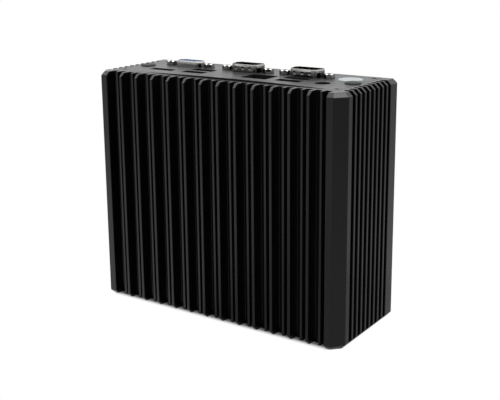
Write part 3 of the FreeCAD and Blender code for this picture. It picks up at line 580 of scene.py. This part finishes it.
class Bench:
    """Modelling operators, each acting on one piece alone."""

    @staticmethod
    def hold(piece: Object) -> None:
        """Make a piece the only selected and the active one.

        Args:
            piece: Piece to work on.
        """
        bpy.ops.object.select_all(action="DESELECT")
        piece.select_set(True)
        bpy.context.view_layer.objects.active = piece

    @classmethod
    @contextmanager
    def editing(cls, piece: Object) -> Iterator[None]:
        """Open a piece in edit mode with all of it selected, and close it after the work.

        Args:
            piece: Piece to edit.

        Returns:
            Context in which operators act on the piece.
        """
        cls.hold(piece)
        bpy.ops.object.mode_set(mode="EDIT")
        bpy.ops.mesh.select_all(action="SELECT")
        yield
        bpy.ops.object.mode_set(mode="OBJECT")

    @classmethod
    def copy_of(cls, node: str, name: str, whole_faces: bool) -> Object:
        """Copy a node's mesh, with its loose triangles joined.

        Args:
            node: Node of the frame.
            name: Name of the copy.
            whole_faces: Whether flat triangles are merged into whole faces.

        Returns:
            The copied piece, which rides on nothing yet.
        """
        mesh = frame["nodes"][node].data.copy()
        mesh.name = name
        piece = bpy.data.objects.new(name, mesh)
        bpy.context.scene.collection.objects.link(piece)
        with cls.editing(piece):
            bpy.ops.mesh.customdata_custom_splitnormals_clear()
            bpy.ops.mesh.remove_doubles(threshold=MERGE_DISTANCE)
            if whole_faces:
                bpy.ops.mesh.dissolve_limited(angle_limit=FLAT_ANGLE)
        bpy.ops.object.shade_smooth_by_angle(angle=SMOOTH_ANGLE)
        return piece

    @classmethod
    def boxes_of(cls, node: str) -> list[tuple[Vector, Vector]]:
        """Measure each separate solid of a node.

        Args:
            node: Node of the frame.

        Returns:
            Lowest and highest corner of each solid, from front to back.
        """
        with cls.editing(cls.copy_of(node, node + "_measure", whole_faces=False)):
            bpy.ops.mesh.separate(type="LOOSE")
        boxes = []
        for piece in list(bpy.context.selected_objects):
            axes = list(zip(*(vertex.co for vertex in piece.data.vertices)))
            boxes.append((Vector(map(min, axes)), Vector(map(max, axes))))
            bpy.data.objects.remove(piece, do_unlink=True)
        return sorted(boxes, key=lambda box: box[0].y)

    @classmethod
    def bar(cls, name: str, low: Vector, high: Vector, edge: float, segments: int = 2) -> Object:
        """Model a straight bar with rounded edges between two corners.

        Args:
            name: Name of the piece.
            low: Lowest corner.
            high: Highest corner.
            edge: Radius of the edges.
            segments: Faces round each edge.

        Returns:
            The new piece, which rides on nothing yet.
        """
        bpy.ops.object.select_all(action="DESELECT")
        bpy.ops.mesh.primitive_cube_add(size=1.0, location=ORIGIN)
        piece = bpy.context.object
        piece.name = name
        with cls.editing(piece):
            bpy.ops.transform.resize(value=tuple(high - low))
            bpy.ops.transform.translate(value=tuple((low + high) / 2.0))
            bpy.ops.mesh.bevel(offset=edge, segments=segments, affect="EDGES")
        bpy.ops.object.shade_smooth_by_angle(angle=SMOOTH_ANGLE)
        return piece

    @classmethod
    def row(cls, piece: Object, count: int, step: tuple[float, float, float]) -> None:
        """Repeat a piece in a straight row.

        Args:
            piece: Piece to repeat.
            count: Number of copies in all.
            step: Distance from one copy to the next.
        """
        copies = piece.modifiers.new("row", "ARRAY")
        copies.count = count
        copies.use_relative_offset = False
        copies.use_constant_offset = True
        copies.constant_offset_displace = step
        cls.apply(piece)

    @classmethod
    def apply(cls, piece: Object) -> None:
        """Apply every modifier of a piece.

        Args:
            piece: Piece to finish.
        """
        cls.hold(piece)
        for modifier in list(piece.modifiers):
            bpy.ops.object.modifier_apply(modifier=modifier.name)


@dataclass
class BrokenEdges:
    """A node whose sharp edges get the small radius that the real piece has."""

    node: str
    radius: float
    segments: int = 2
    shortest_edge: float = 0.0
    whole_faces: bool = True

    def build(self) -> Object:
        """Model the softened copy and let it stand for its node.

        Returns:
            The finished piece.
        """
        piece = Bench.copy_of(self.node, self.node + "_soft", self.whole_faces)
        self._weigh(piece)
        bevel = piece.modifiers.new("broken_edges", "BEVEL")
        bevel.limit_method = "WEIGHT"
        bevel.width = self.radius
        bevel.segments = self.segments
        bevel.use_clamp_overlap = False
        bevel.loop_slide = self.whole_faces
        flats = piece.modifiers.new("true_flats", "WEIGHTED_NORMAL")
        flats.keep_sharp = True
        flats.weight = FLAT_WEIGHT
        Bench.apply(piece)
        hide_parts(self.node)
        return piece

    def _weigh(self, piece: Object) -> None:
        """Mark the edges that are sharp and long enough to be broken.

        Args:
            piece: Merged copy of the node.
        """
        mesh = piece.data
        faces: dict[tuple[int, int], list[Vector]] = {}
        for face in mesh.polygons:
            for key in face.edge_keys:
                faces.setdefault(key, []).append(face.normal)
        weights = mesh.attributes.new("bevel_weight_edge", "FLOAT", "EDGE")
        for edge in mesh.edges:
            sides = faces.get(edge.key, [])
            if len(sides) != 2:
                continue
            start, end = (mesh.vertices[index].co for index in edge.vertices)
            sharp = sides[0].angle(sides[1], 0.0) > SHARP_ANGLE
            if sharp and (start - end).length > self.shortest_edge:
                weights.data[edge.index].value = 1.0


class Dresser:
    """Gives every piece the finish of its slot."""

    def __init__(self) -> None:
        """Build all finishes and read each node's slot from the record."""
        self.materials = {finish.slot: finish.material() for finish in FINISHES}
        self.slots = {row["node"]: row["material_slot"] for row in frame["record"]["subparts"]}

    def dress_nodes(self) -> None:
        """Give each node of the frame its own slot's finish."""
        for node, piece in frame["nodes"].items():
            self._paint(piece, self.slots[node])

    def dress_softened(self, parts: Sequence[BrokenEdges], body: Body) -> None:
        """Build softened nodes, each in the finish of its own slot.

        Args:
            parts: Nodes to soften.
            body: Body that carries them.
        """
        for part in parts:
            self.dress(part.build(), self.slots[part.node], body)

    def dress(self, piece: Object, slot: str, body: Body) -> None:
        """Finish a new piece and let it ride on a body.

        Args:
            piece: New piece, in place.
            slot: Slot of the record.
            body: Body that carries the piece.
        """
        self._paint(piece, slot)
        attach(piece, body.value)
        LOG.info("piece %s in %s on %s", piece.name, slot, body.value)

    def _paint(self, piece: Object, slot: str) -> None:
        """Put one material on a whole piece.

        Args:
            piece: Piece to paint.
            slot: Slot of the record.
        """
        if not piece.material_slots:
            piece.data.materials.append(None)
        for place in piece.material_slots:
            place.material = self.materials[slot]


@dataclass
class FinnedCase:
    """Extruded housing with its end panels and back cover."""

    fin_edge: float = 0.22 * MM
    shortest_fin_edge: float = 0.6 * MM
    plate_edge: float = 0.08 * MM
    plates: tuple[str, ...] = ("io_panel", "lower_panel", "base_cover")

    def build(self, dresser: Dresser) -> None:
        """Break the edges of the housing and of its plates.

        Args:
            dresser: Finisher of the pieces.
        """
        housing = BrokenEdges("heatsink_housing", self.fin_edge, shortest_edge=self.shortest_fin_edge)
        plates = [BrokenEdges(node, self.plate_edge, whole_faces=False) for node in self.plates]
        dresser.dress_softened([housing, *plates], Body.HOUSING)


@dataclass
class PanelConnectors:
    """Shells, jackscrews and plugs that stand out of the connector panel."""

    shell_edge: float = 0.06 * MM
    screw_edge: float = 0.08 * MM
    shortest_screw_edge: float = 1.2 * MM
    plug_edge: float = 0.2 * MM
    shells: tuple[str, ...] = ("vga_shell", "com1_shell", "com2_shell")
    jackscrews: tuple[str, ...] = ("vga_jackscrews", "com_jackscrews")

    def build(self, dresser: Dresser) -> None:
        """Break the edges of each piece that stands out.

        Args:
            dresser: Finisher of the pieces.
        """
        shells = [BrokenEdges(node, self.shell_edge) for node in self.shells]
        jackscrews = [
            BrokenEdges(node, self.screw_edge, shortest_edge=self.shortest_screw_edge)
            for node in self.jackscrews
        ]
        plugs = BrokenEdges("antenna_hole_plugs", self.plug_edge)
        dresser.dress_softened([*shells, *jackscrews, plugs], Body.HOUSING)


@dataclass(frozen=True)
class Strip:
    """Sizes of one contact strip and the distance to the next."""

    pitch: float
    width: float
    length: float


@dataclass(frozen=True)
class ContactRow:
    """Row of contact strips along one face of the tongues of a socket."""

    node: str
    name: str
    count: int
    strip: Strip
    side: Side

    def build(self, thickness: float, edge: float, setback: float) -> Object:
        """Lay the strips on every tongue of the node.

        Args:
            thickness: How far the strips stand off the tongue.
            edge: Radius of the strips' edges.
            setback: Distance from the tip of the tongue to the strips.

        Returns:
            The finished piece.
        """
        tongues = Bench.boxes_of(self.node)
        low, high = tongues[0]
        face = low.y if self.side is Side.FRONT else high.y
        left = (low.x + high.x - (self.count - 1) * self.strip.pitch - self.strip.width) / 2.0
        top = high.z - setback
        strips = Bench.bar(
            self.name, Vector((left, face - thickness, top - self.strip.length)),
            Vector((left + self.strip.width, face + thickness, top)), edge,
        )
        Bench.row(strips, self.count, (self.strip.pitch, 0.0, 0.0))
        if len(tongues) > 1:
            Bench.row(strips, len(tongues), (0.0, tongues[1][0].y - low.y, 0.0))
        return strips


@dataclass
class SocketContacts:
    """Gold contact strips inside the bus and video sockets."""

    thickness: float = 0.06 * MM
    edge: float = 0.02 * MM
    setback: float = 0.7 * MM
    bus_count: int = 4
    bus_strip: Strip = Strip(pitch=2.3 * MM, width=1.1 * MM, length=7.0 * MM)
    video_front_count: int = 10
    video_back_count: int = 9
    video_strip: Strip = Strip(pitch=1.0 * MM, width=0.4 * MM, length=5.0 * MM)

    def build(self, dresser: Dresser) -> None:
        """Lay every row of strips.

        Args:
            dresser: Finisher of the pieces.
        """
        bus = (self.bus_count, self.bus_strip, Side.FRONT)
        rows = [
            ContactRow("usb_left_tongues", "usb_left_contacts", *bus),
            ContactRow("usb_right_tongues", "usb_right_contacts", *bus),
            ContactRow(
                "hdmi_tongue", "hdmi_front_contacts",
                self.video_front_count, self.video_strip, Side.FRONT,
            ),
            ContactRow(
                "hdmi_tongue", "hdmi_back_contacts",
                self.video_back_count, self.video_strip, Side.BACK,
            ),
        ]
        for row in rows:
            strips = row.build(self.thickness, self.edge, self.setback)
            dresser.dress(strips, "gold_contact", Body.HOUSING)


@dataclass
class JackscrewThreads:
    """Cut threads inside the bores of the jackscrews."""

    pitch: float = 0.635 * MM
    ridge: float = 0.2 * MM
    ridge_corners: int = 3
    turns: int = 5
    steps: int = 28
    inset: float = 0.45 * MM

    def build(self, dresser: Dresser) -> None:
        """Wind a thread in each bore that the record gives as a mount.

        Args:
            dresser: Finisher of the pieces.
        """
        for mount in frame["record"]["mounts"]:
            if not mount["name"].endswith("jackscrew_threads"):
                continue
            sizes = mount["dims"]
            thread = self._winding(mount["name"] + "_cut", sizes["hole_r_mm"] * MM)
            half = sizes["spacing_x_mm"] * MM / 2.0
            start = Vector(mount["pos_m"]) - Vector((half, 0.0, self.inset + self.turns * self.pitch))
            with Bench.editing(thread):
                bpy.ops.transform.translate(value=tuple(start))
            Bench.row(thread, sizes["count"], (2.0 * half, 0.0, 0.0))
            dresser.dress(thread, "nickel_shell", Body.HOUSING)

    def _winding(self, name: str, radius: float) -> Object:
        """Wind one ridge of triangular section about the upright line through the origin.

        Args:
            name: Name of the piece.
            radius: Radius of the bore.

        Returns:
            The winding, which starts at height 0.
        """
        bpy.ops.object.select_all(action="DESELECT")
        bpy.ops.mesh.primitive_circle_add(
            vertices=self.ridge_corners, radius=self.ridge, location=ORIGIN
        )
        piece = bpy.context.object
        piece.name = name
        with Bench.editing(piece):
            bpy.ops.transform.rotate(value=QUARTER_TURN, orient_axis="X", center_override=ORIGIN)
            bpy.ops.transform.rotate(value=QUARTER_TURN, orient_axis="Y", center_override=ORIGIN)
            bpy.ops.transform.translate(value=(radius, 0.0, 0.0))
        winding = piece.modifiers.new("winding", "SCREW")
        winding.axis = "Z"
        winding.screw_offset = self.pitch
        winding.iterations = self.turns
        winding.steps = self.steps
        winding.render_steps = self.steps
        Bench.apply(piece)
        bpy.ops.object.shade_smooth_by_angle(angle=SMOOTH_ANGLE)
        return piece


@dataclass
class PowerButton:
    """Round press button of the connector panel."""

    rim: float = 0.18 * MM
    rim_segments: int = 3

    def build(self, dresser: Dresser) -> None:
        """Round the rim of the cap.

        Args:
            dresser: Finisher of the pieces.
        """
        cap = BrokenEdges("power_button_cap", self.rim, self.rim_segments)
        dresser.dress_softened([cap], Body.BUTTON)


class StageShader(Shader):
    """A node tree of the floor or the world, which tells the kinds of rays apart."""

    def seen(self) -> NodeSocket:
        """Mask of the rays that see the white background.

        Returns:
            Output that is 1 for camera, glossy and transmission rays.
        """
        rays = self.place("ShaderNodeLightPath").outputs
        seen = self.reckon("ADD", rays["Is Camera Ray"], rays["Is Glossy Ray"], clamp=True)
        return self.reckon("ADD", seen, rays["Is Transmission Ray"], clamp=True)

    def faded(self, level: NodeSocket, share: NodeSocket) -> NodeSocket:
        """Let a level count in part.

        Args:
            level: Output with the level where it counts in full.
            share: Output with the share that counts.

        Returns:
            Output that is 1 at a share of 0 and the level at a share of 1.
        """
        loss = self.reckon("MULTIPLY", self.reckon("SUBTRACT", 1.0, level), share)
        return self.reckon("SUBTRACT", 1.0, loss)

    def mirrored(self, level: NodeSocket) -> NodeSocket:
        """Let a level count for mirror images alone, so that the background itself stays white.

        Args:
            level: Output with the level in mirror images.

        Returns:
            Output that is the level for glossy rays and 1 for the others.
        """
        return self.faded(level, self.place("ShaderNodeLightPath").outputs["Is Glossy Ray"])


@dataclass
class StudioFloor:
    """Pale floor that keeps the shadow close to the foot of the housing.

    Near the foot the shadow is partly cast by the lamps and partly painted: the paper's own colour
    turns dark under the housing and just beside it, so the gaps between the fins stay dark. Away
    from the foot the floor is as white as the background. In mirror images it darkens with
    distance, behind the housing and on the side where the camera stands.
    """

    size: float = 6.0
    drop: float = 0.05 * MM
    foot_inset: float = 2.0 * MM
    corner_cut: float = 4.0 * MM
    side_narrowing: float = 4.0
    shadow_start: float = -2.2 * MM
    shadow_end: float = 2.4 * MM
    # Painted shadow: under the housing and just beside it the paper's own colour is dark
    painted_shadow_inset: float = 6.0 * MM
    painted_shadow_fade: float = 1.0 * MM
    painted_shadow_tone: float = 0.03
    white: float = 0.86
    dark_side: tuple[float, float, float] = (0.74, -0.67, 0.0)
    dark_start: float = 0.05
    dark_full: float = 0.62
    dark_level: float = 0.42
    fall_near: float = 0.2
    fall_far: float = 0.65
    fall_level: float = 0.7
    rear_near: float = 0.015
    rear_far: float = 0.06
    rear_level: float = 0.6

    def build(self) -> None:
        """Lay the floor."""
        bpy.ops.object.select_all(action="DESELECT")
        bpy.ops.mesh.primitive_plane_add(size=self.size, location=(0.0, 0.0, -self.drop))
        floor = bpy.context.object
        floor.name = "studio_floor"
        floor.data.materials.append(self._paper())

    def _paper(self) -> Material:
        """Make the floor's material.

        Returns:
            The material.
        """
        paper = bpy.data.materials.new("studio_paper")
        shader = StageShader.emptied(paper)
        spot = shader.here()
        foot = self._outside(shader, spot, self.foot_inset)
        away = shader.ramp(foot, self.shadow_start, self.shadow_end, smooth=True)
        # Painted shadow: the paper's colour is near black under the housing and fades to white beside it
        shelter = self._outside(shader, spot, self.painted_shadow_inset)
        tone = shader.ramp(shelter, end=self.painted_shadow_fade, low=self.painted_shadow_tone, high=self.white)
        lit = shader.place("ShaderNodeBsdfDiffuse", {"Color": tone})
        level = self._level(shader, spot)
        glow = shader.place("ShaderNodeEmission", {"Color": WHITE, "Strength": level})
        share = shader.reckon("MULTIPLY", away, shader.seen())
        mixed = shader.place("ShaderNodeMixShader", {0: share, 1: lit.outputs[0], 2: glow.outputs[0]})
        shader.place("ShaderNodeOutputMaterial", {"Surface": mixed.outputs[0]})
        return paper

    def _outside(self, shader: StageShader, spot: NodeSocket, front_inset: float) -> NodeSocket:
        """Distance from the foot of the housing, which has its front corners cut.

        The distance grows faster to the sides, so the shadow there, painted and cast alike, is
        narrower than at the front.

        Args:
            shader: Tree of the floor's material.
            spot: Output with the place on the floor.
            front_inset: How far the measured line lies behind the finned front.

        Returns:
            Output that is negative under the housing and grows away from it.
        """
        axes = shader.place("ShaderNodeSeparateXYZ", {0: spot})
        half_width = CAD_BOX[1][0] - self.foot_inset
        aside = shader.reckon("SUBTRACT", shader.reckon("ABSOLUTE", axes.outputs["X"]), half_width)
        front = shader.reckon("SUBTRACT", CAD_BOX[0][1] + front_inset, axes.outputs["Y"])
        behind = shader.reckon("SUBTRACT", axes.outputs["Y"], CAD_BOX[1][1])
        corner = shader.reckon("ADD", shader.reckon("ADD", aside, front), self.corner_cut)
        side = shader.reckon("MULTIPLY", shader.reckon("MAXIMUM", aside, corner), self.side_narrowing)
        return shader.reckon("MAXIMUM", side, shader.reckon("MAXIMUM", front, behind))

    def _level(self, shader: StageShader, spot: NodeSocket) -> NodeSocket:
        """Level of the white floor, which is lower in mirror images.

        Args:
            shader: Tree of the floor's material.
            spot: Output with the place on the floor.

        Returns:
            Output that is 1, and less for glossy rays.
        """
        reach = shader.place("ShaderNodeVectorMath", {0: spot}, operation="LENGTH").outputs["Value"]
        fall = shader.ramp(reach, self.fall_near, self.fall_far, low=1.0, high=self.fall_level)
        behind = shader.place("ShaderNodeSeparateXYZ", {0: spot}).outputs["Y"]
        rear = shader.ramp(
            behind, self.rear_near, self.rear_far, low=1.0, high=self.rear_level, smooth=True
        )
        heading = shader.place("ShaderNodeVectorMath", {0: spot}, operation="NORMALIZE").outputs[0]
        toward = shader.place(
            "ShaderNodeVectorMath", {0: heading, 1: self.dark_side}, operation="DOT_PRODUCT"
        ).outputs["Value"]
        dark = shader.ramp(
            toward, self.dark_start, self.dark_full, low=1.0, high=self.dark_level, smooth=True
        )
        level = shader.reckon("MULTIPLY", shader.reckon("MULTIPLY", fall, dark), rear)
        return shader.mirrored(level)


@dataclass
class StudioRoom:
    """White room round the floor, which lights the housing softly from all sides.

    In mirror images the wall in front of the housing is dark but for one bright band. Each wall
    level is a rise above the floor, as a share of straight up, and the brightness there.
    """

    ambient: float = 0.25
    front_start: float = 0.1
    front_full: float = -0.25
    wall_levels: tuple[tuple[float, float], ...] = (
        (0.0, 0.35), (0.14, 0.35), (0.19, 0.9), (0.34, 0.9), (0.42, 0.15), (1.0, 0.15),
    )

    def build(self) -> None:
        """Surround the scene with white, and light it with a softer level."""
        world = bpy.data.worlds.new("studio_white")
        shader = StageShader.emptied(world)
        soft = shader.place("ShaderNodeBackground", {"Color": WHITE, "Strength": self.ambient})
        level = shader.mirrored(self._walls(shader))
        white = shader.place("ShaderNodeBackground", {"Color": WHITE, "Strength": level})
        mixed = shader.place(
            "ShaderNodeMixShader", {0: shader.seen(), 1: soft.outputs[0], 2: white.outputs[0]}
        )
        shader.place("ShaderNodeOutputWorld", {"Surface": mixed.outputs[0]})
        bpy.context.scene.world = world

    def _walls(self, shader: StageShader) -> NodeSocket:
        """Level of the room's walls in mirror images.

        Args:
            shader: Tree of the world.

        Returns:
            Output that is the wall's level in front of the housing and 1 behind it.
        """
        heading = shader.place("ShaderNodeTexCoord").outputs["Generated"]
        axes = shader.place("ShaderNodeSeparateXYZ", {0: heading})
        front = shader.ramp(axes.outputs["Y"], self.front_start, self.front_full, smooth=True)
        wall = shader.place("ShaderNodeValToRGB", {0: axes.outputs["Z"]})
        steps = wall.color_ramp.elements
        while len(steps) < len(self.wall_levels):
            steps.new(1.0)
        for step, (rise, level) in zip(steps, self.wall_levels):
            step.position = rise
            step.color = (level, level, level, 1.0)
        return shader.faded(wall.outputs["Color"], front)


@dataclass(frozen=True)
class Softbox:
    """Wide soft lamp that hangs level above the housing."""

    name: str
    place: tuple[float, float, float]
    size: tuple[float, float]
    power: float

    def build(self) -> None:
        """Hang the lamp, facing down."""
        lamp = bpy.data.lights.new(self.name, "AREA")
        lamp.shape = "RECTANGLE"
        lamp.size, lamp.size_y = self.size
        lamp.energy = self.power
        hung = bpy.data.objects.new(self.name, lamp)
        hung.location = self.place
        bpy.context.scene.collection.objects.link(hung)


@dataclass
class Studio:
    """White studio: floor, room and softboxes."""

    floor: StudioFloor
    room: StudioRoom
    softboxes: tuple[Softbox, ...] = (
        Softbox("left_softbox", place=(-0.75, -0.12, 1.1), size=(1.1, 0.6), power=4.3),
        Softbox("right_softbox", place=(0.38, 0.03, 1.1), size=(0.7, 0.6), power=6.2),
    )

    def build(self) -> None:
        """Set up the floor, the light and the view settings."""
        bpy.context.scene.view_settings.view_transform = "Standard"
        for part in (self.floor, self.room, *self.softboxes):
            part.build()


@dataclass
class ViewCamera:
    """Camera of the reference view, in front, to the right and a little above.

    The camera stands on a line from the foot of the finned front, moved aside and up in its own
    plane. A small lens shift lessens how much the upright edges converge.
    """

    azimuth: float = math.radians(34.22)
    elevation: float = math.radians(13.47)
    roll: float = math.radians(-0.51)
    distance: float = 466.07 * MM
    aside: float = 18.94 * MM
    above: float = 79.90 * MM
    lens: float = 67.19
    lens_shift: float = -0.08

    def build(self) -> None:
        """Place the camera and make it the scene's own."""
        back = Vector((
            math.sin(self.azimuth) * math.cos(self.elevation),
            -math.cos(self.azimuth) * math.cos(self.elevation),
            math.sin(self.elevation),
        ))
        level_right = (-back).cross(Vector((0.0, 0.0, 1.0))).normalized()
        level_up = level_right.cross(-back)
        right = level_right * math.cos(self.roll) + level_up * math.sin(self.roll)
        up = level_up * math.cos(self.roll) - level_right * math.sin(self.roll)
        foot = Vector((0.0, CAD_BOX[0][1], 0.0))
        data = bpy.data.cameras.new("view_camera")
        data.lens = self.lens
        data.shift_y = self.lens_shift
        camera = bpy.data.objects.new("view_camera", data)
        turn = Matrix((right, up, back)).transposed().to_4x4()
        spot = foot + back * self.distance + right * self.aside + up * self.above
        camera.matrix_world = Matrix.Translation(spot) @ turn
        bpy.context.scene.collection.objects.link(camera)
        bpy.context.scene.camera = camera


def main() -> None:
    """Build the finishes, the pieces and the studio in order."""
    logging.basicConfig(level=logging.INFO, format="%(name)s: %(message)s")
    dresser = Dresser()
    dresser.dress_nodes()
    assemblies = (FinnedCase(), PanelConnectors(), SocketContacts(), JackscrewThreads(), PowerButton())
    for assembly in assemblies:
        assembly.build(dresser)
        LOG.info("built %s", type(assembly).__name__)
    Studio(StudioFloor(), StudioRoom()).build()
    ViewCamera().build()


if __name__ == "__main__":
    main()
